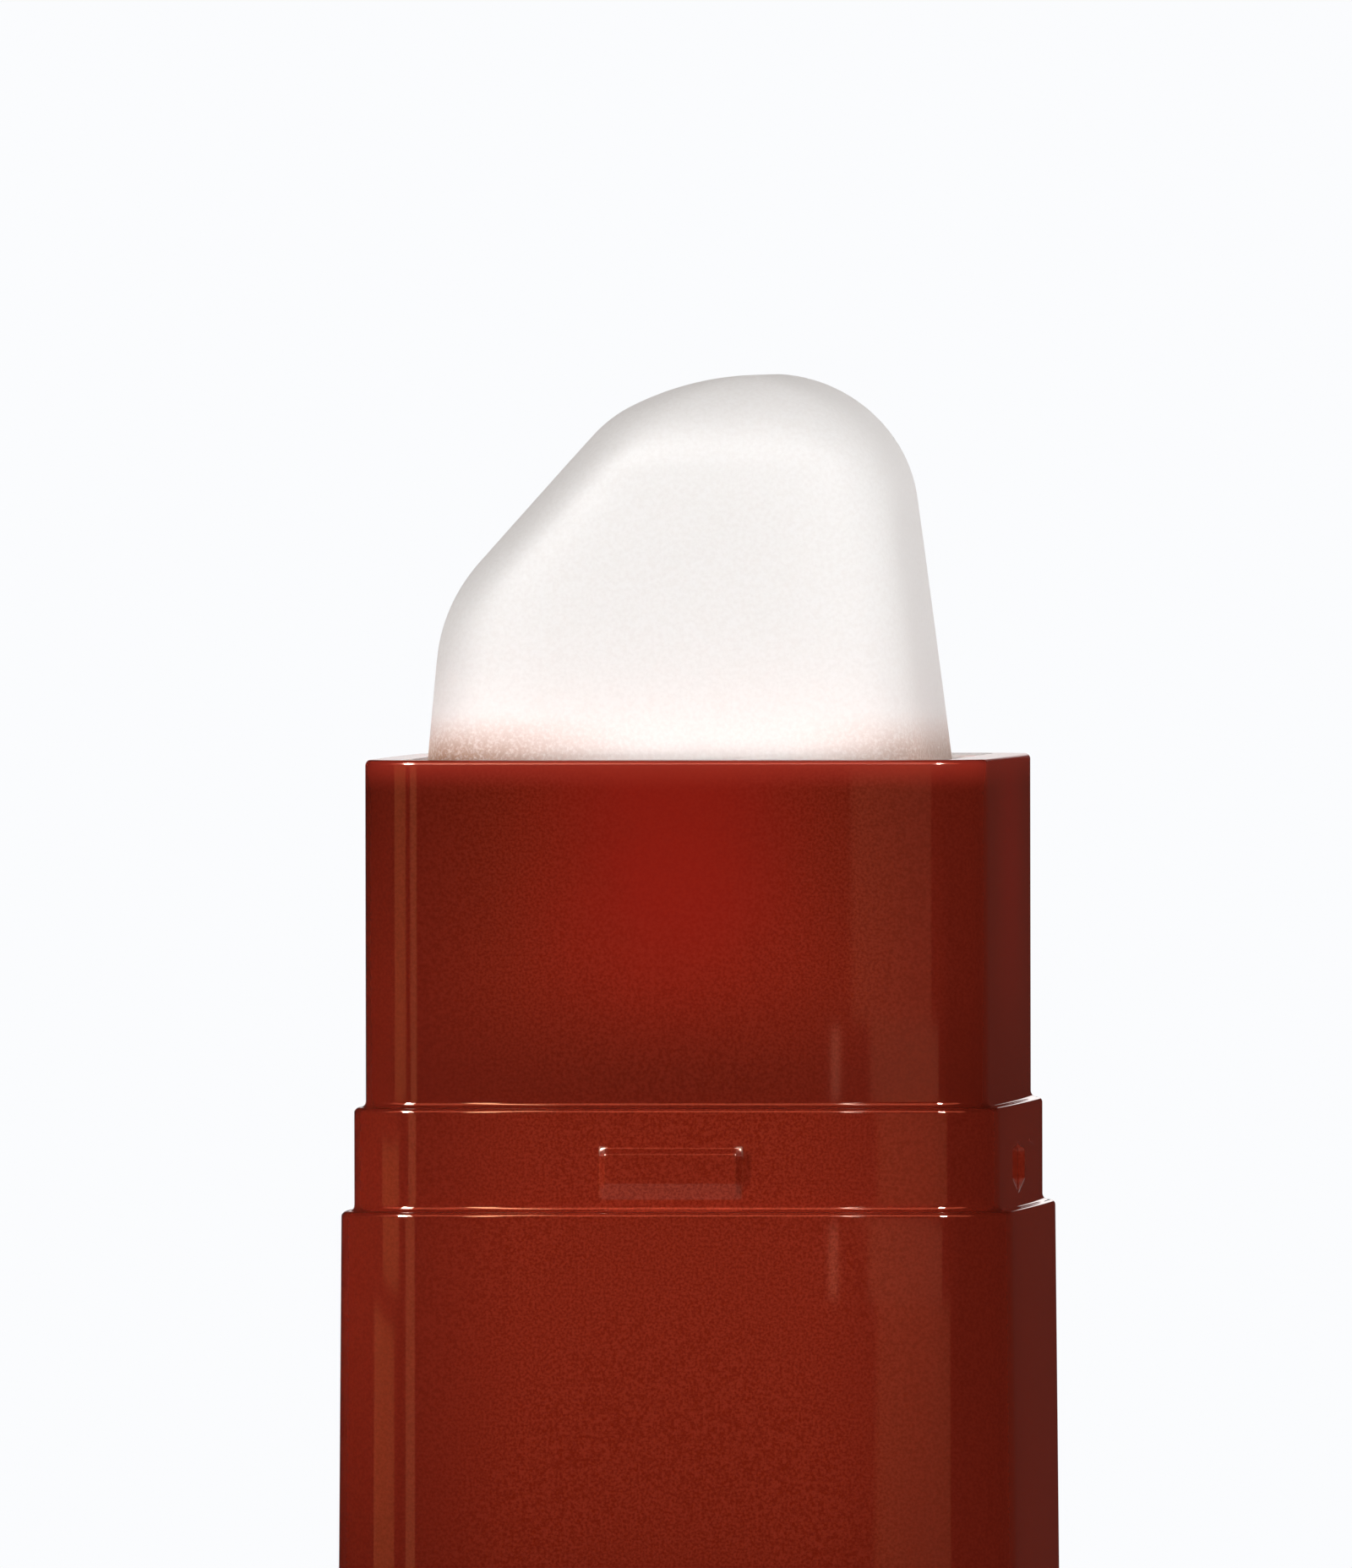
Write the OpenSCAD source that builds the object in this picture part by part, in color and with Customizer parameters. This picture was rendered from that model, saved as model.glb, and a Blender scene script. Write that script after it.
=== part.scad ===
// Twist-up blush stick: a rounded square body with a snap collar, a turning base,
// a screw that lifts a carrier, and a soft balm bullet with a slanted tip.
// The base stands on z = 0 and every piece is drawn round the vertical axis.

/* [Outline] */
// Width of the lower body just under its ledge
body_w = 26.0; // [24:0.1:30]
// How far the lower body stands out of the collar, on each side
ledge_step = 0.5; // [0.4:0.05:0.8]
// How far the collar stands out of the upper barrel, on each side
collar_step = 0.45; // [0.4:0.05:0.8]
// Corner radius of the upper barrel
corner_r = 2.2; // [1.8:0.1:3]
// Outward slope of the lower body, from the ledge down
body_draft = 0.5; // [0:0.1:1]

/* [Heights] */
// Height of the turning base
base_h = 11.7; // [10:0.1:16]
// Open line between the turning base and the body
base_gap = 0.3; // [0.2:0.05:0.6]
// Height of the lower body, from the open line to its ledge
lower_h = 20.6; // [19.6:0.1:26]
// Height of the collar, from ledge to ledge
collar_h = 4.0; // [3.2:0.1:6]
// Height of the upper barrel above the collar
neck_h = 13.4; // [11:0.1:18]

/* [Edges] */
// Rounding of the rim and of the two ledges
edge_r = 0.2; // [0.1:0.02:0.25]
// Fillet at the foot of the barrel and of the collar
foot_r = 0.3; // [0.1:0.02:0.35]
// Rounding of the bottom edge of the turning base
base_edge_r = 0.5; // [0.2:0.05:0.8]

/* [Snap tabs] */
// Width of a snap tab on the collar
tab_w = 5.6; // [3:0.1:9]
// Height of a snap tab
tab_h = 2.0; // [1.2:0.1:2.4]
// Height of a tab's sloped lower face
tab_slope_h = 0.6; // [0.3:0.05:0.9]
// How far a tab stands out of the collar
tab_out = 0.25; // [0.1:0.05:0.4]
// Distance from the lower ledge up to a tab
tab_lift = 0.5; // [0.4:0.05:0.9]

/* [Walls and fits] */
// Wall of the upper barrel round the square bore that the carrier runs in
barrel_wall = 1.6; // [1.2:0.05:1.8]
// Wall of the lower body round the inner guide
lower_wall = 1.25; // [1:0.05:1.3]
// Clearance between two pieces that are pressed together
seat_gap = 0.05; // [0.02:0.01:0.1]
// Clearance between the carrier and its bore, on each side
slide_gap = 0.15; // [0.1:0.01:0.25]
// Radial clearance of the turning journal
journal_gap = 0.05; // [0.02:0.01:0.1]
// Height of the ring bead that locks the inner guide in the body
bead_out = 0.15; // [0.1:0.01:0.2]

/* [Inner guide] */
// Thickness of the guide's floor
web_t = 1.4; // [1:0.1:2]
// Height of the bearing boss above the floor
boss_h = 1.2; // [0.8:0.1:2]
// Wall of the bearing boss
boss_wall = 2.4; // [1.2:0.1:3]

/* [Turning base] */
// Wall of the turning base
base_wall = 1.5; // [1.2:0.1:2]
// Floor of the turning base
base_floor = 1.6; // [1.2:0.1:2.4]
// Thickness of the crossed ribs inside the base
rib_t = 1.2; // [0.8:0.1:2]

/* [Spindle] */
// Thickness of the square drive plate
plate_t = 2.2; // [1.6:0.1:3]
// Width of the bearing pad round the journal
pad_w = 2.0; // [1:0.1:3]
// Radius of the journal that turns in the guide's floor
journal_r = 4.0; // [3.6:0.1:4.6]
// Height of the snap bead over the journal
snap_out = 0.2; // [0.1:0.05:0.3]
// Height of the cone that leads the snap bead through
lead_in_h = 0.6; // [0.4:0.1:1]
// Middle radius of the screw's rounded thread
screw_r = 2.1; // [1.8:0.05:2.4]
// Depth of the thread to each side of the middle radius
thread_depth = 0.35; // [0.2:0.05:0.4]
// Rise of the carrier for one whole turn of the base
screw_lead = 6.0; // [4:0.5:9]
// Number of thread starts
screw_starts = 2; // [2:1:3]
// Clearance between screw and nut
screw_gap = 0.15; // [0.12:0.01:0.2]

/* [Friction ring] */
// Thickness of the silicone ring
ring_t = 0.84; // [0.6:0.02:0.9]
// Side clearance of the ring in its groove
ring_gap = 0.03; // [0.02:0.01:0.05]

/* [Carrier] */
// Height of the carrier cup
cup_h = 6.0; // [5:0.1:7]
// Wall of the carrier cup at its middle
cup_wall = 0.8; // [0.6:0.05:1.2]
// Corner radius inside the cup
cup_corner_r = 2.0; // [1:0.1:3]
// Floor of the carrier cup
cup_floor = 1.2; // [1:0.1:2]
// Length of the nut in the middle of the carrier
nut_h = 4.5; // [3.5:0.1:4.8]
// Wall of the nut round the thread
nut_wall = 1.7; // [1.2:0.1:2.5]
// Thickness of the four fins in the cup that grip the balm
fin_t = 0.8; // [0.6:0.05:1.2]
// How far a fin reaches in from the cup's wall
fin_reach = 2.4; // [1:0.1:3]
// Distance from a fin's top up to the cup's edge
fin_drop = 1.0; // [0.6:0.1:2]

/* [Travel] */
// How far the carrier can go down from the raised pose
travel_down = 16.5; // [14:0.1:16.5]
// How far the carrier can still go up from the raised pose
travel_up = 5.0; // [2:0.1:5]
// Gap left under the carrier when it is right down
carrier_clear = 0.3; // [0.2:0.05:0.6]

/* [Bullet] */
// Height of the balm above the rim in the raised pose
tip_h = 14.8; // [13:0.05:16]
// Distance from the bore to the balm's left wall at the rim
left_inset = 0.4; // [0.3:0.05:1]
// Distance from the bore to the balm's right wall at the rim
right_inset = 1.1; // [0.8:0.05:2]
// Distance from the bore to the balm's front and back walls at the rim
front_inset = 0.85; // [0.5:0.05:1.5]
// Large radius of the crown, left of the highest line
crown_r = 11.0; // [8:0.1:12]
// Slope at which the crown turns over into its shoulder
crown_turn = 27; // [15:1:28]
// Radius of the shoulder above the slant
shoulder_r = 4.7; // [3:0.1:6]
// Slope of the slanted face, from level
slant = 48.5; // [42:0.5:55]
// Radius under the slanted face
chin_r = 6.5; // [4:0.1:7]
// Lean of the left wall, from upright
left_lean = 5.0; // [3:0.5:8]
// Radius of the tip on the right of its highest line
brow_r = 5.5; // [4:0.1:7]
// Lean of the right wall, from upright
right_lean = 7; // [4:0.5:9]
// Lean of the front and back walls, from upright
front_lean = 3.5; // [2:0.5:6]
// Radius of the front and back edges of the tip
front_r = 3.6; // [3:0.1:6]
// Squareness of the bullet's section at the rim
square_low = 7.0; // [4:0.1:8]
// Squareness of the bullet's section at the tip
square_top = 3.6; // [2:0.1:4]
// Clearance between the bullet and the bore, on each side
balm_gap = 0.3; // [0.2:0.05:0.5]
// Clearance round the screw in the bullet's core hole
core_gap = 0.35; // [0.3:0.05:0.6]

/* [Hidden] */
$fn = 64;
arc_steps = 5;
lobe_points = 10;
turn_slices = 20;
slip = 0.01;

shell_red = [0.47, 0.11, 0.07];
natural = [0.86, 0.84, 0.80];
balm_white = [0.95, 0.93, 0.92];
silicone = [0.75, 0.76, 0.78];

// Widths across the flats, from the lower body inwards
collar_w = body_w - 2 * ledge_step;
barrel_w = collar_w - 2 * collar_step;
bore_w = barrel_w - 2 * barrel_wall;

// Half the distance between corner centres, which every outline shares
core = barrel_w / 2 - corner_r;

// Fillets on the two ledges, no larger than the flat that the rounded edge leaves them
ledge_foot_r = min(foot_r, ledge_step - edge_r);
collar_foot_r = min(foot_r, collar_step - edge_r);

// Heights of the main levels
body_z = base_h + base_gap;
ledge_z = body_z + lower_h;
collar_z = ledge_z + collar_h;
rim_z = collar_z + neck_h;

// Offsets of the outlines from the corner centres
barrel_o = corner_r;
collar_o = collar_w / 2 - core;
body_o = body_w / 2 - core;
bore_o = bore_w / 2 - core;
pocket_o = body_o - lower_wall;
guide_o = pocket_o - seat_gap;
body_foot_o = body_o + lower_h * tan(body_draft);
base_top_o = body_o + (lower_h + base_gap) * tan(body_draft);
base_foot_o = body_o + ledge_z * tan(body_draft);
base_in_o = base_top_o - base_wall;

// Guide and its bearing
guide_top = ledge_z - foot_r - seat_gap;
bead_z = body_z + 3;
bead_half = 0.4;
web_top = body_z + web_t;
boss_top = web_top + boss_h;
bearing_r = journal_r + journal_gap;

// Drive plate and journal
plate_top = base_h - 0.1;
plate_bottom = plate_top - plate_t;
pad_top = body_z - journal_gap;
snap_z = boss_top + journal_gap;
snap_h = 0.6;
lead_in_z = snap_z + snap_h;
rod_z = lead_in_z + lead_in_h;
ring_z = body_z + (boss_top - body_z) / 2;
ring_in_r = journal_r - ring_t - ring_gap;

// Carrier in its raised pose
carrier_z = rod_z + carrier_clear + travel_down;
carrier_o = bore_o - slide_gap;
cup_top = carrier_z + cup_h;
cup_in_w = bore_w - 2 * (slide_gap + cup_wall);
crest_r = screw_r + thread_depth;
nut_r = crest_r + nut_wall;
rod_top = carrier_z + travel_up + nut_h;

// Core hole of the bullet, over the screw when the carrier is right down
hole_r = crest_r + core_gap;
hole_top = rod_top + travel_down + core_gap;

// The highest line's place, from where the right wall meets the rim
right_foot = bore_w / 2 - right_inset;
brow_rise = tip_h - brow_r * (1 - sin(right_lean));
tip_x = right_foot - brow_r * cos(right_lean) - brow_rise * tan(right_lean);

// The slant's length, so that the left wall meets the rim at its inset
left_foot = bore_w / 2 - left_inset;
slant_room_x = tip_x + left_foot - crown_r * sin(crown_turn)
    - shoulder_r * (sin(slant) - sin(crown_turn)) - chin_r * (cos(left_lean) - sin(slant));
slant_room_z = tip_h - crown_r * (1 - cos(crown_turn))
    - shoulder_r * (cos(crown_turn) - cos(slant)) - chin_r * (cos(slant) - sin(left_lean));
slant_len = (slant_room_x - slant_room_z * tan(left_lean)) / (cos(slant) - sin(slant) * tan(left_lean));

// Tip outline: arc ends and centres, walked down from the highest line
tip_z = rim_z + tip_h;
crown_end_z = tip_z - crown_r * (1 - cos(crown_turn));
crown_end_x = tip_x - crown_r * sin(crown_turn);
shoulder_x = crown_end_x + shoulder_r * sin(crown_turn);
shoulder_z = crown_end_z - shoulder_r * cos(crown_turn);
slant_top_x = shoulder_x - shoulder_r * sin(slant);
slant_top_z = shoulder_z + shoulder_r * cos(slant);
slant_end_x = slant_top_x - slant_len * cos(slant);
slant_end_z = slant_top_z - slant_len * sin(slant);
chin_x = slant_end_x + chin_r * sin(slant);
chin_z = slant_end_z - chin_r * cos(slant);
wall_top_x = chin_x - chin_r * cos(left_lean);
wall_top_z = chin_z + chin_r * sin(left_lean);
brow_z = tip_z - brow_r;
brow_end_x = tip_x + brow_r * cos(right_lean);
brow_end_z = brow_z + brow_r * sin(right_lean);
balm_half = bore_w / 2 - balm_gap;

// Points of an arc, from one angle to another
function arc(x, y, r, from, to, steps = arc_steps) =
    [for (i = [0:steps]) let (a = from + (to - from) * i / steps) [x + r * cos(a), y + r * sin(a)]];

// Left and right walls of the bullet at a height
function bullet_left(z) =
    z > crown_end_z ? tip_x - sqrt(max(0, crown_r ^ 2 - (z - tip_z + crown_r) ^ 2)) :
    z > slant_top_z ? shoulder_x - sqrt(shoulder_r ^ 2 - (z - shoulder_z) ^ 2) :
    z > slant_end_z ? slant_top_x - (slant_top_z - z) / tan(slant) :
    z > wall_top_z ? chin_x - sqrt(chin_r ^ 2 - (z - chin_z) ^ 2) :
    max(-balm_half, wall_top_x - (wall_top_z - z) * tan(left_lean));
function bullet_right(z) =
    z > brow_end_z ? tip_x + sqrt(max(0, brow_r ^ 2 - (z - brow_z) ^ 2)) :
    min(balm_half, brow_end_x + (brow_end_z - z) * tan(right_lean));

// Half the bullet's depth at a height
function bullet_half(z) =
    min(balm_half, bore_w / 2 - front_inset - (z - rim_z) * tan(front_lean))
    - (z > tip_z - front_r ? front_r - sqrt(max(0, front_r ^ 2 - (z - tip_z + front_r) ^ 2)) : 0);

// Squareness of the section at a height
function squareness(z) =
    square_low + (square_top - square_low) * max(0, (z - rim_z) / tip_h) ^ 2;

// One closed section of the bullet, a softened rectangle
function signed_power(v, p) = sign(v) * abs(v) ^ p;
function bullet_ring(z, count) =
    let (left = bullet_left(z), right = bullet_right(z), p = 2 / squareness(z))
    [for (i = [0:count - 1]) let (a = 360 * i / count)
        [(left + right) / 2 + (right - left) / 2 * signed_power(cos(a), p),
         bullet_half(z) * signed_power(sin(a), p), z]];

// Sweeps a profile round the shared rounded square: x runs out from the corner centres
module swept_square() {
    for (turn = [0:90:270]) rotate([0, 0, turn]) {
        translate([core, core, 0]) rotate_extrude(angle = 90) children();
        translate([core, core, 0]) rotate([90, 0, 0]) linear_extrude(2 * core) children();
    }
}

// A block over the corner centres, which closes a swept floor
module middle_block(z, h) {
    translate([-core, -core, z]) cube([2 * core, 2 * core, h]);
}

module rounded_square(w, r) {
    square([w, w - 2 * r], center = true);
    square([w - 2 * r, w], center = true);
    for (x = [-1, 1], y = [-1, 1]) translate([x, y] * (w / 2 - r)) circle(r);
}

// Outer line of the body with its ledges, and its bore, pocket and bead groove
module shell_profile() {
    polygon(concat(
        [[pocket_o, body_z], [body_foot_o, body_z]],
        arc(body_o - edge_r, ledge_z - edge_r, edge_r, 0, 90),
        arc(collar_o + ledge_foot_r, ledge_z + ledge_foot_r, ledge_foot_r, 270, 180),
        arc(collar_o - edge_r, collar_z - edge_r, edge_r, 0, 90),
        arc(barrel_o + collar_foot_r, collar_z + collar_foot_r, collar_foot_r, 270, 180),
        arc(barrel_o - edge_r, rim_z - edge_r, edge_r, 0, 90),
        arc(bore_o + edge_r, rim_z - edge_r, edge_r, 90, 180),
        [[bore_o, guide_top + seat_gap], [pocket_o, guide_top + seat_gap]],
        bead_line(pocket_o, bead_out + seat_gap)
    ));
}

// The ring bead's three points, walked downwards
function bead_line(o, out) =
    [[o, bead_z + bead_half], [o + out, bead_z + bead_half / 2],
     [o + out, bead_z - bead_half / 2], [o, bead_z - bead_half]];

// A snap tab with a square top and a sloped underside
module snap_tab() {
    depth = tab_out + edge_r;
    face = collar_w / 2 + tab_out;
    translate([-tab_w / 2, -face, ledge_z + tab_lift])
        rotate([90, 0, 90]) linear_extrude(tab_w)
            polygon([[tab_out, 0], [0, tab_slope_h], [0, tab_h - tab_out / 2],
                [tab_out / 2, tab_h], [depth, tab_h], [depth, 0]]);
}

module body_shell() {
    color(shell_red) {
        swept_square() shell_profile();
        for (turn = [0:90:270]) rotate([0, 0, turn]) snap_tab();
    }
}

module inner_guide() {
    color(natural) difference() {
        union() {
            swept_square() polygon(concat(
                [[bore_o, body_z], [guide_o, body_z]],
                [for (p = [3:-1:0]) bead_line(guide_o, bead_out)[p]],
                [[guide_o, guide_top], [bore_o, guide_top]]));
            translate([0, 0, body_z]) linear_extrude(web_t) square(bore_w, center = true);
            translate([0, 0, body_z]) cylinder(h = web_t + boss_h, r = bearing_r + boss_wall);
        }
        translate([0, 0, body_z - 1]) cylinder(h = web_t + boss_h + 2, r = bearing_r);
    }
}

module turn_base() {
    color(shell_red) {
        swept_square() polygon(concat(
            [[0, base_floor], [0, 0]],
            arc(base_foot_o - base_edge_r, base_edge_r, base_edge_r, 270, 360),
            arc(base_top_o - edge_r, base_h - edge_r, edge_r, 0, 90),
            [[base_in_o, base_h], [base_in_o, base_floor]]));
        middle_block(0, base_floor);
        for (turn = [0, 90]) rotate([0, 0, turn])
            translate([-core - base_in_o, -rib_t / 2, base_floor - slip])
                cube([2 * (core + base_in_o), rib_t, plate_bottom - base_floor + slip]);
    }
}

// Rounded thread: the radius swells once for each start
module thread_outline(grow, points) {
    polygon([for (i = [0:points - 1]) let (a = 360 * i / points)
        (screw_r + grow + thread_depth * cos(a * screw_starts)) * [cos(a), sin(a)]]);
}

// A left-hand thread between two heights, always in phase with the height itself
module thread(low, high, grow) {
    turns = (high - low) / screw_lead;
    points = lobe_points * screw_starts;
    translate([0, 0, low]) rotate([0, 0, -360 * low / screw_lead])
        linear_extrude(high - low, twist = 360 * turns, slices = ceil(turn_slices * turns), segments = points)
            thread_outline(grow, points);
}

module spindle() {
    color(natural) {
        swept_square() polygon([[0, plate_bottom], [base_in_o - seat_gap, plate_bottom],
            [base_in_o - seat_gap, plate_top], [0, plate_top]]);
        middle_block(plate_bottom, plate_t);
        rotate_extrude() polygon([[0, plate_bottom], [journal_r + pad_w, plate_bottom],
            [journal_r + pad_w, pad_top], [journal_r, pad_top],
            [journal_r, ring_z - ring_t / 2 - ring_gap], [ring_in_r, ring_z - ring_t / 2 - ring_gap],
            [ring_in_r, ring_z + ring_t / 2 + ring_gap], [journal_r, ring_z + ring_t / 2 + ring_gap],
            [journal_r, snap_z], [journal_r + snap_out, snap_z],
            [journal_r + snap_out, lead_in_z], [journal_r - lead_in_h, rod_z], [0, rod_z]]);
        thread(rod_z - slip, rod_top, 0);
    }
}

module friction_ring() {
    color(silicone) translate([0, 0, ring_z]) rotate_extrude()
        translate([journal_r - ring_t / 2, 0]) circle(d = ring_t);
}

// The fins in the cup, or with room round them the slots that they leave in the balm
module cup_fins(room) {
    for (turn = [0:90:270]) rotate([0, 0, turn])
        translate([cup_in_w / 2 - fin_reach - room, -fin_t / 2 - room, carrier_z + cup_floor - slip])
            cube([fin_reach + room + slip, fin_t + 2 * room, cup_h - cup_floor - fin_drop + room + slip]);
}

module carrier() {
    color(natural) difference() {
        union() {
            cup_fins(0);
            difference() {
                union() {
                    swept_square() polygon([[0, carrier_z], [carrier_o, carrier_z],
                        [carrier_o, cup_top], [0, cup_top]]);
                    middle_block(carrier_z, cup_h);
                }
                translate([0, 0, carrier_z + cup_floor]) linear_extrude(cup_h)
                    rounded_square(cup_in_w, cup_corner_r);
            }
            translate([0, 0, carrier_z]) cylinder(h = nut_h, r = nut_r);
        }
        thread(carrier_z - slip, carrier_z + nut_h + slip, screw_gap);
    }
}

// The balm above the cup, built from sections that close at the highest line
module bullet_body() {
    count = 40;
    low = [cup_top, cup_top + 4, rim_z - 4, rim_z - 1];
    high = [for (i = [0:26]) rim_z + (tip_h - slip) * sin(90 * i / 26)];
    levels = concat(low, high);
    rings = [for (z = levels) bullet_ring(z, count)];
    last = len(levels) - 1;
    sides = [for (k = [0:last - 1], i = [0:count - 1])
        let (a = k * count + i, b = k * count + (i + 1) % count)
        each [[a, b + count, b], [a, a + count, b + count]]];
    polyhedron([for (r = rings) each r],
        concat([[for (i = [0:count - 1]) i]], sides,
            [[for (i = [count - 1:-1:0]) last * count + i]]));
}

module bullet() {
    color(balm_white) difference() {
        union() {
            bullet_body();
            translate([0, 0, carrier_z + cup_floor]) linear_extrude(cup_h - cup_floor + slip)
                rounded_square(cup_in_w - 2 * seat_gap, cup_corner_r - seat_gap);
        }
        cup_fins(seat_gap);
        translate([0, 0, carrier_z]) cylinder(h = nut_h + seat_gap, r = nut_r + seat_gap);
        translate([0, 0, carrier_z]) cylinder(h = hole_top - carrier_z, r = hole_r);
    }
}

body_shell();
inner_guide();
turn_base();
spindle();
friction_ring();
carrier();
bullet();
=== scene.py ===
# Twist-up blush stick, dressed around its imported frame.
import math
import bpy
from mathutils import Matrix, Vector


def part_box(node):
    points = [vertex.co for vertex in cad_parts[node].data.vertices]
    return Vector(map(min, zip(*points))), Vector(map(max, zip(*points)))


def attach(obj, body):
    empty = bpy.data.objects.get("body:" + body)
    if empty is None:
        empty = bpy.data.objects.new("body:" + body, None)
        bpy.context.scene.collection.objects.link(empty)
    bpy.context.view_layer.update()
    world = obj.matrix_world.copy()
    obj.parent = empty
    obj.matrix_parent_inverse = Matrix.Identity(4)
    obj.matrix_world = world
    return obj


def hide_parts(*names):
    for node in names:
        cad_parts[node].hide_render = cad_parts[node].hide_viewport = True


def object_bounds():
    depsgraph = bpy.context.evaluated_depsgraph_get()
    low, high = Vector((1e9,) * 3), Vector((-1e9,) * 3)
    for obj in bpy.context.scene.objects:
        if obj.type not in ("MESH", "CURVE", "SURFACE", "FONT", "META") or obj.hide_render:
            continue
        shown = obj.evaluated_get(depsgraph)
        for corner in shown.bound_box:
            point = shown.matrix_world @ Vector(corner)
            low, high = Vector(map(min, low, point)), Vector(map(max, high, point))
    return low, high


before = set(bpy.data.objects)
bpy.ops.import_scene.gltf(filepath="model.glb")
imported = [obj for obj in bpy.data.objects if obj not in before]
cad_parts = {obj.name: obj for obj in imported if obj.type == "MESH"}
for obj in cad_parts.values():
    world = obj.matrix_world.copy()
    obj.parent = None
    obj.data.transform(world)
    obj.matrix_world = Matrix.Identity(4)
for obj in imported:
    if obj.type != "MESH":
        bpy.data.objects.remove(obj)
cad_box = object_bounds()
MM = 0.001


# Viewpoint. The photograph was taken through a long lens, almost level with the rim and
# a few degrees to the right of the front, with the foot of the stick below the picture.
# Pixels are those of the photograph, and the angles are in degrees.
VIEW_AZIMUTH, VIEW_ELEVATION, VIEW_ROLL = 5.2, 0.72, -0.1
PIXELS_PER_MM = 30.5
FRAME_WIDE, FRAME_HIGH = 1600, 1855
AXIS_PIXEL, RIM_PIXEL = 830.5, 900
LENS_MM, SENSOR_MM = 1000, 36
CLIP_NEAR, CLIP_FAR = 0.05, 20

barrel_low, barrel_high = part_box("body_shell")
rim_z = barrel_high.z


def set_camera():
    turn, lift = math.radians(VIEW_AZIMUTH), math.radians(VIEW_ELEVATION)
    back = Vector((math.sin(turn) * math.cos(lift), -math.cos(turn) * math.cos(lift), math.sin(lift)))
    roll = Matrix.Rotation(math.radians(VIEW_ROLL), 3, "Z").to_quaternion()
    facing = (-back).to_track_quat("-Z", "Y") @ roll
    right, up = facing @ Vector((1, 0, 0)), facing @ Vector((0, 1, 0))
    rim_front = Vector((0, barrel_low.y, rim_z))
    across = (FRAME_WIDE / 2 - AXIS_PIXEL) / PIXELS_PER_MM * MM
    down = (RIM_PIXEL - FRAME_HIGH / 2) / PIXELS_PER_MM * MM
    target = right * across + up * (rim_front.dot(up) + down)
    distance = LENS_MM * FRAME_HIGH / PIXELS_PER_MM / SENSOR_MM * MM
    data = bpy.data.cameras.new("product_camera")
    data.lens, data.sensor_width = LENS_MM, SENSOR_MM
    data.clip_start, data.clip_end = CLIP_NEAR, CLIP_FAR
    camera = bpy.data.objects.new("product_camera", data)
    camera.location = target + back * distance
    camera.rotation_mode = "QUATERNION"
    camera.rotation_quaternion = facing
    bpy.context.scene.collection.objects.link(camera)
    bpy.context.scene.camera = camera


set_camera()


# Studio. The stick stands on a pale round board in front of a white field. Soft boxes light it
# from the front right and from behind, and warm cards and small lamps show in its polish.
BOARD_RADIUS, BOARD_RINGS, BOARD_SPOKES = 0.42, 6, 96
BOARD_FADE_FROM, BOARD_FADE_TO = 0.55, 0.98
PAPER = (0.86, 0.865, 0.875, 1)
BOX_DISTANCE = 0.6
WHITE, PALE_BLUE, PALE_PINK = (1, 1, 1), (0.95, 0.975, 1), (1, 0.96, 0.95)
AMBER, ORANGE, DEEP_RED = (1, 0.75, 0.5), (1, 0.5, 0.2), (1, 0.25, 0.15)
COPPER, PEACH, TAN = (1, 0.5, 0.25), (1, 0.6, 0.45), (1, 0.56, 0.36)
SAND, BRONZE, SIDE_RED = (1, 0.62, 0.4), (1, 0.56, 0.3), (1, 0.16, 0.11)
OVERHEAD_FROM = 0.9
FIELD_WHITE = (0.965, 0.973, 0.989, 1)
ROOM_GLOW, ROOM_OVERHEAD = (0.86, 0.82, 0.80, 1), (0.28, 0.255, 0.245, 1)
ROOM_MIRRORED = (0.007, 0.005, 0.004, 1)


class Wire:
    """A value, colour or vector on its way through a node tree. Sums and products add their nodes."""

    def __init__(self, finish, socket):
        self.finish, self.socket = finish, socket

    def combine(self, operation, first, second):
        wires = [w for w in (first, second) if isinstance(w, Wire)]
        if any(w.socket.type == "VECTOR" for w in wires):
            return self.finish.add("ShaderNodeVectorMath", {"operation": operation}, {0: first, 1: second})
        return self.finish.add("ShaderNodeMath", {"operation": operation}, {0: first, 1: second})

    def __add__(self, other):
        return self.combine("ADD", self, other)

    def __radd__(self, other):
        return self.combine("ADD", other, self)

    def __sub__(self, other):
        return self.combine("SUBTRACT", self, other)

    def __rsub__(self, other):
        return self.combine("SUBTRACT", other, self)

    def __mul__(self, other):
        return self.combine("MULTIPLY", self, other)

    def __rmul__(self, other):
        return self.combine("MULTIPLY", other, self)

    def __truediv__(self, other):
        return self.combine("DIVIDE", self, other)

    def step(self, start, end, low=0, high=1):
        """Rises smoothly from low to high as the value goes from start to end."""
        values = {"Value": self, "From Min": start, "From Max": end, "To Min": low, "To Max": high}
        return self.finish.add("ShaderNodeMapRange", {"interpolation_type": "SMOOTHSTEP"}, values)

    def part(self, name):
        return self.finish.add("ShaderNodeSeparateXYZ", {}, {0: self}, name)


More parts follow.
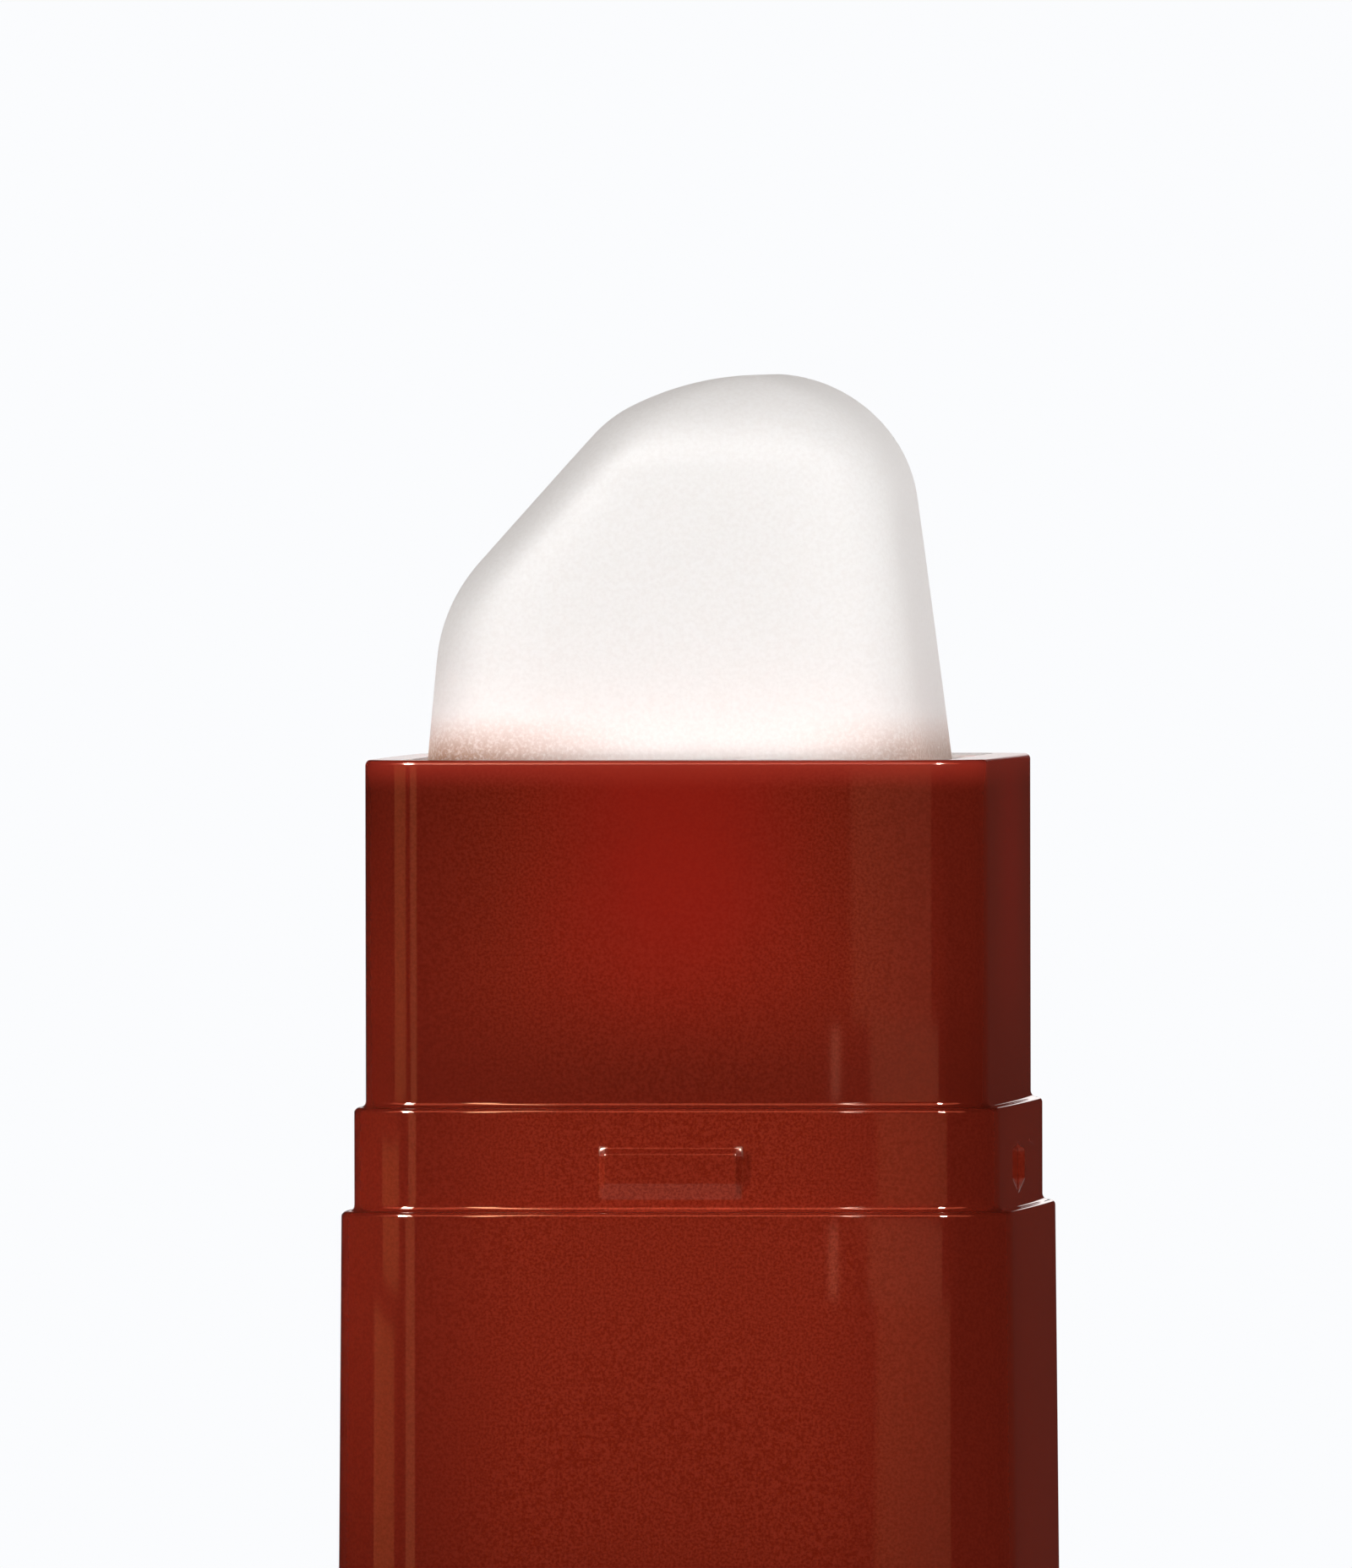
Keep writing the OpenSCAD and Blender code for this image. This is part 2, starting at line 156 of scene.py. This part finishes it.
class Finish:
    """The finish of one material: its node tree, and one method that adds any node to it."""

    def __init__(self, name, owner=None):
        self.material = owner or bpy.data.materials.new(name)
        self.material.use_nodes = True
        self.tree = self.material.node_tree
        self.tree.nodes.clear()

    def add(self, kind, settings, values, out=0):
        node = self.tree.nodes.new(kind)
        for key, value in settings.items():
            setattr(node, key, value)
        for key, value in values.items():
            if isinstance(value, Wire):
                self.tree.links.new(value.socket, node.inputs[key])
            else:
                node.inputs[key].default_value = value
        return Wire(self, node.outputs[out]) if node.outputs else node

    def place(self):
        """Position on the piece, in millimetres."""
        spot = self.add("ShaderNodeTexCoord", {}, {}, "Object")
        return self.add("ShaderNodeVectorMath", {"operation": "SCALE"}, {0: spot, "Scale": 1 / MM})

    def grain(self, place, scale, detail=2, roughness=0.5):
        values = {"Vector": place, "Scale": scale, "Detail": detail, "Roughness": roughness}
        return self.add("ShaderNodeTexNoise", {}, values)

    def blend(self, factor, first, second):
        return self.add("ShaderNodeMix", {"data_type": "RGBA"}, {0: factor, 6: first, 7: second}, 2)

    def bump(self, height, strength, distance):
        return self.add("ShaderNodeBump", {}, {"Height": height, "Strength": strength, "Distance": distance})

    def surface(self, **values):
        """The shader itself: every name is one of its sockets, with spaces for underscores."""
        named = {key.replace("_", " "): value for key, value in values.items()}
        self.show(self.add("ShaderNodeBsdfPrincipled", {}, named))
        return self.material

    def show(self, shader):
        self.add("ShaderNodeOutputMaterial", {}, {"Surface": shader})


def light_world():
    world = bpy.data.worlds.new("white_field")
    bpy.context.scene.world = world
    field = Finish("white_field", world)
    seen = field.add("ShaderNodeLightPath", {}, {}, "Is Camera Ray")
    mirrored = field.add("ShaderNodeLightPath", {}, {}, "Is Glossy Ray")
    height = field.add("ShaderNodeTexCoord", {}, {}, "Generated").part("Z")
    glow = field.blend(height.step(0, OVERHEAD_FROM), ROOM_GLOW, ROOM_OVERHEAD)
    colour = field.blend(seen, field.blend(mirrored, glow, ROOM_MIRRORED), FIELD_WHITE)
    background = field.add("ShaderNodeBackground", {}, {"Color": colour, "Strength": 1})
    field.add("ShaderNodeOutputWorld", {}, {"Surface": background})
    bpy.context.scene.view_settings.view_transform = "Standard"


def soft_box(name, azimuth, elevation, wide, high, radiance, colour=WHITE, mirrored=True, lights=True,
             spread=180, lean=0):
    """A rectangular soft light that faces the stick. One that isn't mirrored only lights it, and
    one that lights nothing is a card or lamp that only shows in its polish. The place and the
    size are the angles that the stick sees, in degrees, with the azimuth running from the front
    towards the right. A lamp's spread narrows its beam, and its lean tips its top to the left."""
    turn, lift = math.radians(azimuth), math.radians(elevation)
    middle = Vector((0, 0, (cad_box[0].z + cad_box[1].z) / 2))
    back = Vector((math.sin(turn) * math.cos(lift), -math.cos(turn) * math.cos(lift), math.sin(lift)))
    data = bpy.data.lights.new(name, "AREA")
    data.shape = "RECTANGLE"
    data.size, data.size_y = (2 * BOX_DISTANCE * math.tan(math.radians(a / 2)) for a in (wide, high))
    data.energy = radiance * math.pi * data.size * data.size_y
    data.color = colour
    data.spread = math.radians(spread)
    lamp = bpy.data.objects.new(name, data)
    lamp.location = middle + back * BOX_DISTANCE
    lamp.rotation_mode = "QUATERNION"
    tilt = Matrix.Rotation(math.radians(lean), 3, "Z").to_quaternion()
    lamp.rotation_quaternion = (-back).to_track_quat("-Z", "Y") @ tilt
    lamp.visible_camera = False
    lamp.visible_glossy, lamp.visible_diffuse = mirrored, lights
    bpy.context.scene.collection.objects.link(lamp)


def lay_board():
    count = BOARD_SPOKES
    points = [(0, 0, 0)]
    for ring in range(1, BOARD_RINGS + 1):
        for spoke in range(count):
            turn = 2 * math.pi * spoke / count
            radius = BOARD_RADIUS * ring / BOARD_RINGS
            points.append((radius * math.cos(turn), radius * math.sin(turn), 0))
    faces = [(0, 1 + s, 1 + (s + 1) % count) for s in range(count)]
    for ring in range(BOARD_RINGS - 1):
        low, high = 1 + ring * count, 1 + (ring + 1) * count
        faces += [(low + s, high + s, high + (s + 1) % count, low + (s + 1) % count) for s in range(count)]
    mesh = bpy.data.meshes.new("pale_board")
    mesh.from_pydata(points, [], faces)
    board = bpy.data.objects.new("pale_board", mesh)
    bpy.context.scene.collection.objects.link(board)
    paper = Finish("pale_paper")
    place = paper.add("ShaderNodeTexCoord", {}, {}, "Object")
    reach = paper.add("ShaderNodeVectorMath", {"operation": "LENGTH"}, {0: place}, "Value") / BOARD_RADIUS
    card = paper.add("ShaderNodeBsdfDiffuse", {}, {"Color": PAPER})
    clear = paper.add("ShaderNodeBsdfTransparent", {}, {})
    fade = reach.step(BOARD_FADE_FROM, BOARD_FADE_TO)
    paper.show(paper.add("ShaderNodeMixShader", {}, {0: fade, 1: card, 2: clear}))
    mesh.materials.append(paper.material)


light_world()
soft_box("key_box", 26, 2, 50, 30, 3.3, PALE_BLUE, mirrored=False)
soft_box("crown_box", 182, 60, 60, 40, 0.8, mirrored=False)
soft_box("left_strip_box", -66, -1, 16, 2.4, 1.1, mirrored=False, spread=3)
soft_box("left_lamp", -26, 38, 15, 36, 36, lights=False, lean=19)
soft_box("left_strip", -9.5, 38, 0.4, 36, 22, AMBER, lights=False, lean=4.3)
soft_box("tab_lamp", -27, 33, 9, 9, 2200, lights=False)
soft_box("right_strip", -3.62, 38, 0.1, 36, 30, lights=False, lean=2.7)
soft_box("right_lamp", 24, 33, 8, 8, 900, lights=False)
soft_box("warm_ceiling", 0, 46, 110, 36, 4.8, DEEP_RED, lights=False)
soft_box("left_band", -41, 0.45, 24, 2.3, 1.1, ORANGE, lights=False)
soft_box("left_low_band", -51, -5.2, 31, 8.6, 1.05, ORANGE, lights=False)
soft_box("left_line", -14.6, -1, 10.7, 6, 1.2, COPPER, lights=False)
soft_box("right_line", -2.82, -0.5, 0.12, 0.36, 1.5, PEACH, lights=False)
soft_box("right_band", 1.85, 0.65, 8.9, 1.9, 0.45, TAN, lights=False)
soft_box("right_middle_band", 8.6, -0.51, 21.9, 0.4, 0.62, SAND, lights=False)
soft_box("right_low_band", 14.2, -5.51, 33, 9.6, 0.5, BRONZE, lights=False)
soft_box("side_card", 153, 0, 60, 24, 0.08, SIDE_RED, lights=False)
soft_box("back_field", 188, 4.0, 18, 4.7, 1.25, PALE_PINK, lights=False)
lay_board()


# Moulded inner parts: the guide tube, the carrier cup and the screw with its drive plate.
# They are uncoloured plastic with a faint satin tool finish, snapped together inside the shell.
PLASTIC = (0.74, 0.72, 0.67, 1)
PLASTIC_SHADE = (0.62, 0.60, 0.55, 1)


def natural_plastic():
    moulded = Finish("natural_plastic")
    place = moulded.place()
    cloud = moulded.grain(place, 0.25, 3)
    texture = moulded.grain(place, 9, 4, 0.6)
    return moulded.surface(
        Base_Color=moulded.blend(cloud.step(0.35, 0.7), PLASTIC, PLASTIC_SHADE),
        Roughness=texture * 0.14 + 0.36,
        Subsurface_Weight=0.12, Subsurface_Radius=(1.2, 1.0, 0.8), Subsurface_Scale=MM,
        Normal=moulded.bump(texture, 0.25, 0.02 * MM),
    )


def dress(node, material):
    """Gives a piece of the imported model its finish."""
    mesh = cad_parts[node].data
    if not mesh.materials:
        mesh.materials.append(material)
    for index in range(len(mesh.materials)):
        mesh.materials[index] = material


plastic = natural_plastic()
for node in ("inner_guide", "carrier", "spindle"):
    dress(node, plastic)


# Friction ring: a thin ring of clear silicone in the journal's groove. It drags on the
# guide's bearing, so that the balm stays where it is turned to.
SILICONE, SILICONE_SHADE = (0.60, 0.61, 0.63, 1), (0.52, 0.53, 0.55, 1)


def silicone():
    soft = Finish("silicone")
    cloud = soft.grain(soft.place(), 1.5, 3)
    return soft.surface(
        Base_Color=soft.blend(cloud, SILICONE, SILICONE_SHADE),
        Roughness=cloud * 0.2 + 0.4,
        Transmission_Weight=0.2,
        Normal=soft.bump(cloud, 0.1, 0.02 * MM),
    )


dress("friction_ring", silicone())


# Body shell: one polished moulding of deep red plastic, with the barrel, the collar with four
# snap tabs, two ledges with a small foot fillet, and the lower body. It is pushed over the guide.
# From here on, sizes are in millimetres and angles in degrees.
BODY_W, LEDGE_STEP, COLLAR_STEP, BARREL_WALL, LOWER_WALL = 26.0, 0.5, 0.45, 1.6, 1.25
CORNER_R, EDGE_R, FOOT_R, DRAFT = 2.2, 0.2, 0.25, 0.5
COLLAR_H, NECK_H = 4.0, 13.4
TAB_W, TAB_H, TAB_SLOPE_H, TAB_OUT, TAB_LIFT, TAB_EDGE = 5.6, 2.0, 0.6, 0.25, 0.5, 0.30
TAB_CREASE, TAB_SATIN = 0.02, 0.28
TAB_STEPS, CROWN_STEPS, FACE_STEPS = 6, 6, 5
FACE_CROWN, CROWN_FADE = 0.10, 3.0
RED, RED_SPECK = (0.176, 0.0172, 0.0078, 1), (0.116, 0.0082, 0.0027, 1)
BALM = (0.95, 0.93, 0.92, 1)
# Painted light: a lighter red glow for the middle of each face below the rim, and a brighter red along the
# rim.
RED_PAINTED_GLOW, RED_RIM_PAINTED_GLOW = (0.250, 0.0105, 0.0056, 1), (0.330, 0.0280, 0.0160, 1)
# Painted shade: a darker red for the barrel's foot above the collar, and one for the faces towards the
# corners.
LEDGE_SHADE, CORNER_SHADE = (0.06, 0.006, 0.003, 1), (0.095, 0.0080, 0.0038, 1)

core = BODY_W / 2 - LEDGE_STEP - COLLAR_STEP - CORNER_R
rim_mm = rim_z / MM
bore_half = BODY_W / 2 - LEDGE_STEP - COLLAR_STEP - BARREL_WALL
collar_z = rim_mm - NECK_H
ledge_z = collar_z - COLLAR_H
foot_z = barrel_low.z / MM
tab_low = ledge_z + TAB_LIFT
tab_top = tab_low + TAB_H


def rounded_line(corners, steps=7):
    """Walks a closed outline of (out, height, radius) corners and rounds each one.
    Gives (out, height, outward normal) for every point."""
    line = []
    count = len(corners)
    for i, (x, z, radius) in enumerate(corners):
        here = Vector((x, z))
        before, after = (Vector(corners[i - 1][:2]) - here), (Vector(corners[(i + 1) % count][:2]) - here)
        before.normalize()
        after.normalize()
        normal_in, normal_out = Vector((-before.y, before.x)), Vector((after.y, -after.x))
        if radius == 0:
            line.append((x, z, (normal_in + normal_out).normalized()))
            continue
        turn = normal_in.angle_signed(normal_out)
        reach = radius * math.tan(abs(turn) / 2)
        convex = 1 if turn < 0 else -1
        middle = here + before * reach - normal_in * radius * convex
        for step in range(steps + 1):
            normal = Matrix.Rotation(-turn * step / steps, 2) @ normal_in
            line.append((*(middle + normal * radius * convex), normal))
    return line


def square_path(along, corner_steps=14):
    """Stations round the shared rounded square: (centre, outward direction, distance along the side).
    The faces are slightly crowned, so a corner's arc is a little short of a quarter turn."""
    path = []
    slope = math.atan(2 * FACE_CROWN / core)
    for side in range(4):
        quarter = Matrix.Rotation(math.pi / 2 * side, 2)
        for step in range(1, corner_steps):
            turn = -math.pi / 2 + slope + (math.pi / 2 - 2 * slope) * step / corner_steps
            outward = Vector((math.cos(turn), math.sin(turn)))
            path.append((quarter @ Vector((core, -core)), quarter @ outward, None))
        path += [(quarter @ Vector((core, s)), quarter @ Vector((1, 0)), s) for s in along]
    return path


def smooth(value, start, end):
    t = min(1, max(0, (value - start) / (end - start)))
    return t * t * (3 - 2 * t)


def crown_rise(s, z):
    """How far a face bulges at a spot, which fades out at the foot to meet the base."""
    return FACE_CROWN * (1 - (s / core) ** 2) * smooth(z, foot_z, foot_z + CROWN_FADE)


def tab_rise(s, z):
    """How far a snap tab stands out at a spot of the collar."""
    across = smooth(abs(s), TAB_W / 2, TAB_W / 2 - TAB_EDGE)
    up = min(1, max(0, (z - tab_low) / TAB_SLOPE_H)) * smooth(z, tab_top, tab_top - TAB_EDGE)
    return TAB_OUT * across * up


def swept_mesh(name, line, path):
    """Sweeps the outline round the path. The normals come from the outline, so polished faces stay true."""
    points, normals = [], []
    nudge = 0.001
    for out, z, normal in line:
        outer = out > CORNER_R - EDGE_R - nudge
        collar = normal.x > 0.99 and ledge_z < z < collar_z

        def rise(s, z):
            return outer * crown_rise(s, z) + (tab_rise(s, z) if collar else 0)

        for centre, direction, s in path:
            lift = lift_s = lift_z = 0
            if s is not None:
                lift = rise(s, z)
                lift_s = (rise(s + nudge, z) - rise(s - nudge, z)) / (2 * nudge)
                lift_z = (rise(s, z + nudge) - rise(s, z - nudge)) / (2 * nudge)
            spot = centre + direction * (out + lift)
            points.append((spot.x * MM, spot.y * MM, z * MM))
            flat = normal.x * (direction - Vector((-direction.y, direction.x)) * lift_s)
            normals.append(Vector((flat.x, flat.y, normal.y - normal.x * lift_z)).normalized())
    wide, high = len(path), len(line)
    faces = []
    for i in range(high):
        low, top = i * wide, (i + 1) % high * wide
        faces += [(low + j, low + (j + 1) % wide, top + (j + 1) % wide, top + j) for j in range(wide)]
    mesh = bpy.data.meshes.new(name)
    mesh.from_pydata(points, [], faces)
    mesh.shade_smooth()
    mesh.normals_split_custom_set_from_vertices(normals)
    piece = bpy.data.objects.new(name, mesh)
    bpy.context.scene.collection.objects.link(piece)
    return piece


def make_body_shell():
    body_o, collar_o, barrel_o = BODY_W / 2 - core, BODY_W / 2 - LEDGE_STEP - core, CORNER_R
    bore_o, pocket_o = barrel_o - BARREL_WALL, body_o - LOWER_WALL
    foot_o = body_o + (ledge_z - foot_z) * math.tan(math.radians(DRAFT))
    step_z = ledge_z - FOOT_R
    tab_levels = [z + d for z in (tab_low, tab_low + TAB_SLOPE_H) for d in (-TAB_CREASE, TAB_CREASE)]
    tab_levels.append(tab_low + TAB_H / 2)
    tab_levels += [tab_top - TAB_EDGE * (1 - k / TAB_STEPS) for k in range(TAB_STEPS + 1)]
    wall_levels = [foot_z + CROWN_FADE * k / CROWN_STEPS for k in range(1, CROWN_STEPS + 2)]
    corners = [
        (pocket_o, foot_z, 0.1), (foot_o, foot_z, 0.12),
        *[(foot_o + (body_o - foot_o) * (z - foot_z) / (ledge_z - foot_z), z, 0) for z in wall_levels],
        (body_o, ledge_z, EDGE_R), (collar_o, ledge_z, FOOT_R),
        *[(collar_o, z, 0) for z in tab_levels],
        (collar_o, collar_z, EDGE_R), (barrel_o, collar_z, FOOT_R), (barrel_o, rim_mm, EDGE_R),
        (bore_o, rim_mm, EDGE_R), (bore_o, step_z, 0.04), (pocket_o, step_z, 0.04),
    ]
    edge = [TAB_W / 2 - TAB_EDGE * k / TAB_STEPS for k in range(-1, TAB_STEPS + 1)]
    face = [core * k / FACE_STEPS for k in range(FACE_STEPS + 1)]
    rights = sorted(set(edge + [s for s in face if abs(s - TAB_W / 2) > TAB_EDGE]))
    along = sorted(set([-s for s in rights] + rights))
    return swept_mesh("polished_shell", rounded_line(corners), square_path(along))


def polished_red():
    red = Finish("polished_red")
    place = red.place()
    height = place.part("Z")
    x, y = (red.add("ShaderNodeMath", {"operation": "ABSOLUTE"}, {0: place.part(axis)}) for axis in "XY")
    out = red.add("ShaderNodeMath", {"operation": "MAXIMUM"}, {0: x, 1: y})
    aside = red.add("ShaderNodeMath", {"operation": "MINIMUM"}, {0: x, 1: y})
    speckle = red.grain(place, 9, 2, 0.6)
    cloud = red.grain(place, 0.3, 3)
    # Painted shade: each face is painted darker towards its corners.
    corner = aside.step(5, 10.5)
    # Painted glow: the middle of each face is painted a lighter red towards the top, on all four sides.
    glow = aside.step(7.5, 0.5) * height.step(rim_mm - 12.5, rim_mm - 4) * cloud.step(0.2, 0.6, 0.7, 1)
    # Painted shade: the barrel darkens over its last 6 mm above the collar, like a contact shadow at the
    # ledge.
    shade = height.step(collar_z + 6, collar_z - 0.2) * height.step(collar_z - 0.3, collar_z + 0.2)
    colour = red.blend(speckle.step(0.3, 0.7), RED_SPECK, RED)
    colour = red.blend(shade * 0.55, colour, LEDGE_SHADE)
    colour = red.blend(corner * 0.6, colour, CORNER_SHADE)
    colour = red.blend(glow * 0.75, colour, RED_PAINTED_GLOW)
    # Painted glow: the last 1.3 mm below the rim is painted a brighter red.
    colour = red.blend(height.step(rim_mm - 1.3, rim_mm) * 0.8, colour, RED_RIM_PAINTED_GLOW)
    inside = out.step(bore_half + 0.3, bore_half + 0.1) * height.step(rim_mm - 1.1, rim_mm - 0.5)
    colour = red.blend(inside * cloud.step(0.1, 0.5, 0.8, 1), colour, BALM)
    satin = aside.step(TAB_W / 2 - 0.45, TAB_W / 2 - 0.2) * aside.step(TAB_W / 2 + 0.05, TAB_W / 2 - 0.05)
    satin = satin * height.step(tab_top - 0.5, tab_top - 0.3) * height.step(tab_top + 0.08, tab_top + 0.02)
    dull_rim = height.step(rim_mm - 0.5, rim_mm - 0.1, 0, 0.1)
    return red.surface(
        Base_Color=colour, Roughness=speckle * 0.02 + 0.01 + dull_rim + satin * TAB_SATIN,
        IOR=1.49, Specular_Tint=(1.0, 0.66, 0.52, 1),
    )


red_material = polished_red()
shell = make_body_shell()
shell.data.materials.append(red_material)
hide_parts("body_shell")
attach(shell, "housing")


# Turning base: a cup of the same deep red plastic, with crossed ribs inside. The screw's drive
# plate is pressed into it, and it turns under the body with a fine open line between them.
dress("turn_base", red_material)


# Bullet: soft white balm, cast with a slanted tip and polished by flaming, so every edge is
# round. Its foot is cast into the carrier cup, and a core hole leaves room for the screw.
TIP_H, LEFT_INSET, RIGHT_INSET, FRONT_INSET, BALM_GAP = 14.8, 0.4, 1.1, 0.85, 0.3
CROWN_R, CROWN_TURN, SHOULDER_R, SLANT, CHIN_R = 11.0, 27, 4.7, 48.5, 6.5
LEFT_LEAN, RIGHT_LEAN, FRONT_LEAN, BROW_R, FRONT_R = 5.0, 7, 3.5, 5.5, 3.6
SQUARE_LOW, SQUARE_TOP = 7.0, 3.6
CUP_IN_W, CUP_CORNER_R, NUT_R, NUT_H, CUP_FLOOR = 19.0, 2.0, 4.15, 4.5, 1.2
HOLE_R, TRAVEL_DOWN, CORE_GAP, SEAT_GAP = 2.8, 16.5, 0.35, 0.05
RING_POINTS, TIP_RINGS, TIP_FLAT = 120, 72, 0.002
BALM_WAX, BALM_SPECK = (0.975, 0.938, 0.918, 1), (0.84, 0.79, 0.77, 1)
# Painted shade: a brownish red for the balm's foot at the rim, standing for shadow and red light thrown up
# by the barrel.
BALM_PAINTED_SHADE, PAINTED_SHADE_CENTRE = (0.50, 0.30, 0.21, 1), 1.5

balm_half = bore_half - BALM_GAP


def sine(degrees):
    return math.sin(math.radians(degrees))


def cosine(degrees):
    return math.cos(math.radians(degrees))


def tangent(degrees):
    return math.tan(math.radians(degrees))


tip_x = bore_half - RIGHT_INSET - BROW_R * cosine(RIGHT_LEAN)
tip_x -= (TIP_H - BROW_R * (1 - sine(RIGHT_LEAN))) * tangent(RIGHT_LEAN)
room_x = tip_x + bore_half - LEFT_INSET - CROWN_R * sine(CROWN_TURN)
room_x -= SHOULDER_R * (sine(SLANT) - sine(CROWN_TURN)) + CHIN_R * (cosine(LEFT_LEAN) - sine(SLANT))
room_z = TIP_H - CROWN_R * (1 - cosine(CROWN_TURN))
room_z -= SHOULDER_R * (cosine(CROWN_TURN) - cosine(SLANT)) + CHIN_R * (cosine(SLANT) - sine(LEFT_LEAN))
slant_len = (room_x - room_z * tangent(LEFT_LEAN)) / (cosine(SLANT) - sine(SLANT) * tangent(LEFT_LEAN))
tip_z = rim_mm + TIP_H
crown_end = Vector((tip_x - CROWN_R * sine(CROWN_TURN), tip_z - CROWN_R * (1 - cosine(CROWN_TURN))))
shoulder = crown_end + SHOULDER_R * Vector((sine(CROWN_TURN), -cosine(CROWN_TURN)))
slant_top = shoulder + SHOULDER_R * Vector((-sine(SLANT), cosine(SLANT)))
slant_end = slant_top - slant_len * Vector((cosine(SLANT), sine(SLANT)))
chin = slant_end + CHIN_R * Vector((sine(SLANT), -cosine(SLANT)))
wall_top = chin + CHIN_R * Vector((-cosine(LEFT_LEAN), sine(LEFT_LEAN)))
brow_end = Vector((tip_x + BROW_R * cosine(RIGHT_LEAN), tip_z - BROW_R * (1 - sine(RIGHT_LEAN))))


def bullet_left(z):
    if z > crown_end.y:
        return tip_x - math.sqrt(max(0, CROWN_R ** 2 - (z - tip_z + CROWN_R) ** 2))
    if z > slant_top.y:
        return shoulder.x - math.sqrt(SHOULDER_R ** 2 - (z - shoulder.y) ** 2)
    if z > slant_end.y:
        return slant_top.x - (slant_top.y - z) / tangent(SLANT)
    if z > wall_top.y:
        return chin.x - math.sqrt(CHIN_R ** 2 - (z - chin.y) ** 2)
    return max(-balm_half, wall_top.x - (wall_top.y - z) * tangent(LEFT_LEAN))


def bullet_right(z):
    if z > brow_end.y:
        return tip_x + math.sqrt(max(0, BROW_R ** 2 - (z - tip_z + BROW_R) ** 2))
    return min(balm_half, brow_end.x + (brow_end.y - z) * tangent(RIGHT_LEAN))


def bullet_half(z):
    wall = min(balm_half, bore_half - FRONT_INSET - (z - rim_mm) * tangent(FRONT_LEAN))
    over = z - tip_z + FRONT_R
    return wall - (FRONT_R - math.sqrt(max(0, FRONT_R ** 2 - over ** 2)) if over > 0 else 0)


def bullet_ring(z):
    left, right, half = bullet_left(z), bullet_right(z), bullet_half(z)
    square = SQUARE_LOW + (SQUARE_TOP - SQUARE_LOW) * max(0, (z - rim_mm) / TIP_H) ** 2
    ring = []
    for i in range(RING_POINTS):
        c, s = math.cos(2 * math.pi * i / RING_POINTS), math.sin(2 * math.pi * i / RING_POINTS)
        x = (left + right) / 2 + (right - left) / 2 * math.copysign(abs(c) ** (2 / square), c)
        ring.append(Vector((x, half * math.copysign(abs(s) ** (2 / square), s), z)))
    return ring


def foot_ring(half, corner, z):
    """A rounded square, or a circle where its corner radius is the whole half width."""
    ring = []
    for i in range(RING_POINTS):
        turn = 2 * math.pi * i / RING_POINTS
        c, s = math.cos(turn), math.sin(turn)
        inner = half - corner
        reach = min(half / max(abs(c), 1e-9), half / max(abs(s), 1e-9))
        spot = Vector((c, s)) * reach
        if abs(spot.x) > inner and abs(spot.y) > inner:
            centre = Vector((math.copysign(inner, c), math.copysign(inner, s)))
            along = Vector((c, s)).dot(centre)
            reach = along + math.sqrt(max(0, corner ** 2 - centre.length_squared + along ** 2))
            spot = Vector((c, s)) * reach
        ring.append(Vector((spot.x, spot.y, z)))
    return ring


def make_bullet():
    cup_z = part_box("carrier")[0].z / MM
    cup_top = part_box("carrier")[1].z / MM
    hole_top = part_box("spindle")[1].z / MM + TRAVEL_DOWN + CORE_GAP
    foot_half, foot_corner = CUP_IN_W / 2 - SEAT_GAP, CUP_CORNER_R - SEAT_GAP
    nut_r, nut_top = NUT_R + SEAT_GAP, cup_z + NUT_H + SEAT_GAP
    rings = [foot_ring(HOLE_R, HOLE_R, z) for z in (hole_top, hole_top - 0.3, nut_top + 0.05, nut_top)]
    rings += [foot_ring(nut_r, nut_r, z) for z in (nut_top, nut_top - 0.1, cup_z + CUP_FLOOR)]
    rings += [foot_ring(foot_half, foot_corner, z) for z in (cup_z + CUP_FLOOR, cup_top - 0.05, cup_top)]
    rings += [bullet_ring(z) for z in (cup_top, cup_top + 0.1, rim_mm - 6, rim_mm - 2)]
    rises = [math.sin(math.pi / 2 * i / TIP_RINGS) for i in range(TIP_RINGS + 1)]
    rings += [bullet_ring(rim_mm + (TIP_H - TIP_FLAT) * rise) for rise in rises]
    points = [tuple(p * MM) for ring in rings for p in ring]
    faces = [tuple(reversed(range(RING_POINTS)))]
    for k in range(len(rings) - 1):
        low, high = k * RING_POINTS, (k + 1) * RING_POINTS
        faces += [(low + i, low + (i + 1) % RING_POINTS, high + (i + 1) % RING_POINTS, high + i)
                  for i in range(RING_POINTS)]
    last = (len(rings) - 1) * RING_POINTS
    faces.append(tuple(range(last, last + RING_POINTS)))
    mesh = bpy.data.meshes.new("slanted_balm")
    mesh.from_pydata(points, [], faces)
    mesh.shade_smooth()
    balm = bpy.data.objects.new("slanted_balm", mesh)
    bpy.context.scene.collection.objects.link(balm)
    return balm


def waxy_balm():
    wax = Finish("waxy_balm")
    place = wax.place()
    grain = wax.grain(place, 6.5, 2, 0.7)
    height = place.part("Z")
    colour = wax.blend(grain.step(0.3, 0.75) * 0.35, BALM_WAX, BALM_SPECK)
    # Painted shade and painted red reflected light: the balm is darkened to a brownish red near the rim,
    # most towards its sides.
    aside = wax.add("ShaderNodeMath", {"operation": "ABSOLUTE"}, {0: place.part("X") - PAINTED_SHADE_CENTRE})
    painted_shade = height.step(rim_mm + 2.0, rim_mm - 0.1) * grain.step(0.25, 0.6, 0.5, 1)
    painted_shade = painted_shade * height.step(rim_mm - 3.0, rim_mm - 0.6, 0.1, 1) * aside.step(2, 10.5, 0.06, 1)
    colour = wax.blend(painted_shade, colour, BALM_PAINTED_SHADE)
    return wax.surface(
        Base_Color=colour, Roughness=grain * 0.1 + 0.5, Specular_IOR_Level=0.045,
        Subsurface_Weight=1.0, Subsurface_Radius=(1.0, 1.0, 1.0), Subsurface_Scale=2.6 * MM,
        IOR=1.44, Normal=wax.bump(grain, 0.12, 0.02 * MM),
    )


bullet = make_bullet()
bullet.data.materials.append(waxy_balm())
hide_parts("bullet")
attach(bullet, "carriage")
